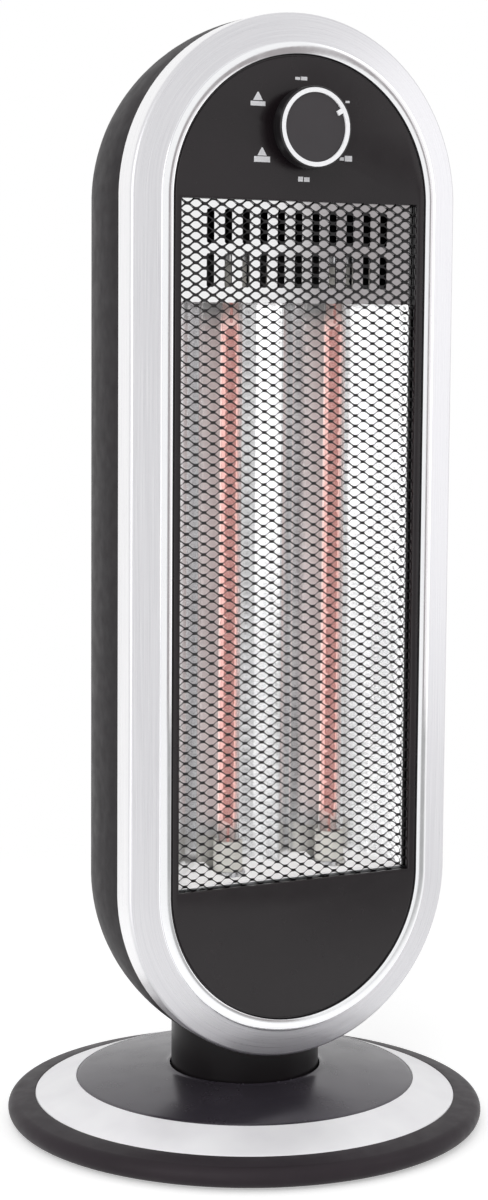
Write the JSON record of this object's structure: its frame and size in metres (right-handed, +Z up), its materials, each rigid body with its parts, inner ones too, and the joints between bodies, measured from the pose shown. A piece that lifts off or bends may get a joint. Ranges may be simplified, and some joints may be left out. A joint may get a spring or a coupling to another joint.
{
  "type": "carbon tower heater",
  "caption": "Free-standing tower heater with glowing tubes behind an expanded-metal guard, a knob, and a swinging casing on a round base.",
  "frame": {"origin": "centre of the base on the floor, on the axis about which the tower swings", "axes": "+Z up, the front faces -Y, +X is the viewer's right from the front"},
  "size_m": [0.27, 0.27, 0.615],
  "materials": {
    "casing_plastic": "fine satin grain",
    "panel_plastic": "satin gloss charcoal",
    "dome_plastic": "high gloss",
    "neck_plastic": "fine satin grain",
    "plate_plastic": "plain moulded",
    "bezel_silver": "brushed band with a polished lip",
    "ring_silver": "spun satin",
    "foot_rubber": "matte",
    "screw_steel": "zinc plated",
    "bearing_plastic": "natural acetal",
    "yoke_steel": "zinc plated",
    "guard_metal": "satin grey coat",
    "vent_metal": "bright rolled",
    "reflector_metal": "polished",
    "frame_metal": "galvanised",
    "tube_glass": "clear quartz",
    "filament": "carbon ribbon, glowing red",
    "ceramic": "unglazed ceramic",
    "clip_steel": "spring steel",
    "switch_body": "plain moulded",
    "cutout_body": "phenolic",
    "wire_sleeve": "braided sleeve",
    "motor_steel": "zinc plated",
    "knob_plastic": "satin gloss",
    "knob_white": "white inlay",
    "plunger_red": "plain moulded"
  },
  "bodies": {
    "base": {"base_plate": "plate_plastic", "base_rim": "casing_plastic", "base_trim_ring": "ring_silver", "base_dome": "dome_plastic", "base_feet": "foot_rubber", "base_screws": "screw_steel", "swivel_hub": "bearing_plastic", "thrust_washer": "bearing_plastic", "swing_yoke": "yoke_steel", "hub_screws": "screw_steel", "cord_bush": "foot_rubber", "tip_switch": "bearing_plastic", "plunger_spring": "clip_steel"},
    "tower": {"neck": "neck_plastic", "rear_shell": "casing_plastic", "front_bezel": "bezel_silver", "front_panel": "panel_plastic", "mesh_guard": "guard_metal", "vent_plate": "vent_metal", "reflector": "reflector_metal", "reflector_floor": "reflector_metal", "inner_chassis": "frame_metal", "upper_bracket": "frame_metal", "lower_bracket": "frame_metal", "quartz_tubes": "tube_glass", "carbon_filaments": "filament", "tube_caps": "ceramic", "tube_clips": "clip_steel", "rotary_switch": "switch_body", "thermal_cutout": "cutout_body", "terminal_block": "switch_body", "wiring_loom": "wire_sleeve", "oscillation_motor": "motor_steel", "motor_screws": "screw_steel", "shell_screws": "screw_steel"},
    "crank": {"drive_crank": "bearing_plastic", "crank_roller": "yoke_steel"},
    "knob": {"knob": "knob_plastic", "knob_ring": "knob_white", "switch_shaft": "yoke_steel"},
    "plunger": {"tip_plunger": "plunger_red"}
  },
  "joints": [
    {"name": "swing", "type": "hinge", "parent": "base", "child": "tower", "pos_m": [0, 0, 0.03], "axis": [0, 0, 1], "range_deg": [-35, 35]},
    {"name": "crank_turn", "type": "hinge", "parent": "tower", "child": "crank", "pos_m": [0, 0.02, 0.04], "axis": [0, 0, 1], "range_deg": [-125, 125]},
    {"name": "knob_turn", "type": "hinge", "parent": "tower", "child": "knob", "pos_m": [0, -0.06, 0.554], "axis": [0, 1, 0], "range_deg": [0, 300]},
    {"name": "tip_travel", "type": "slide", "parent": "base", "child": "plunger", "axis": [0, 0, -1], "range_m": [0, 0.006], "stiffness_N_per_m": 60, "springref_m": 0.012, "deforming": ["plunger_spring"]}
  ],
  "couplings": [
    {"joint": "crank_turn", "follows": "swing", "ratio": -3.57}
  ]
}
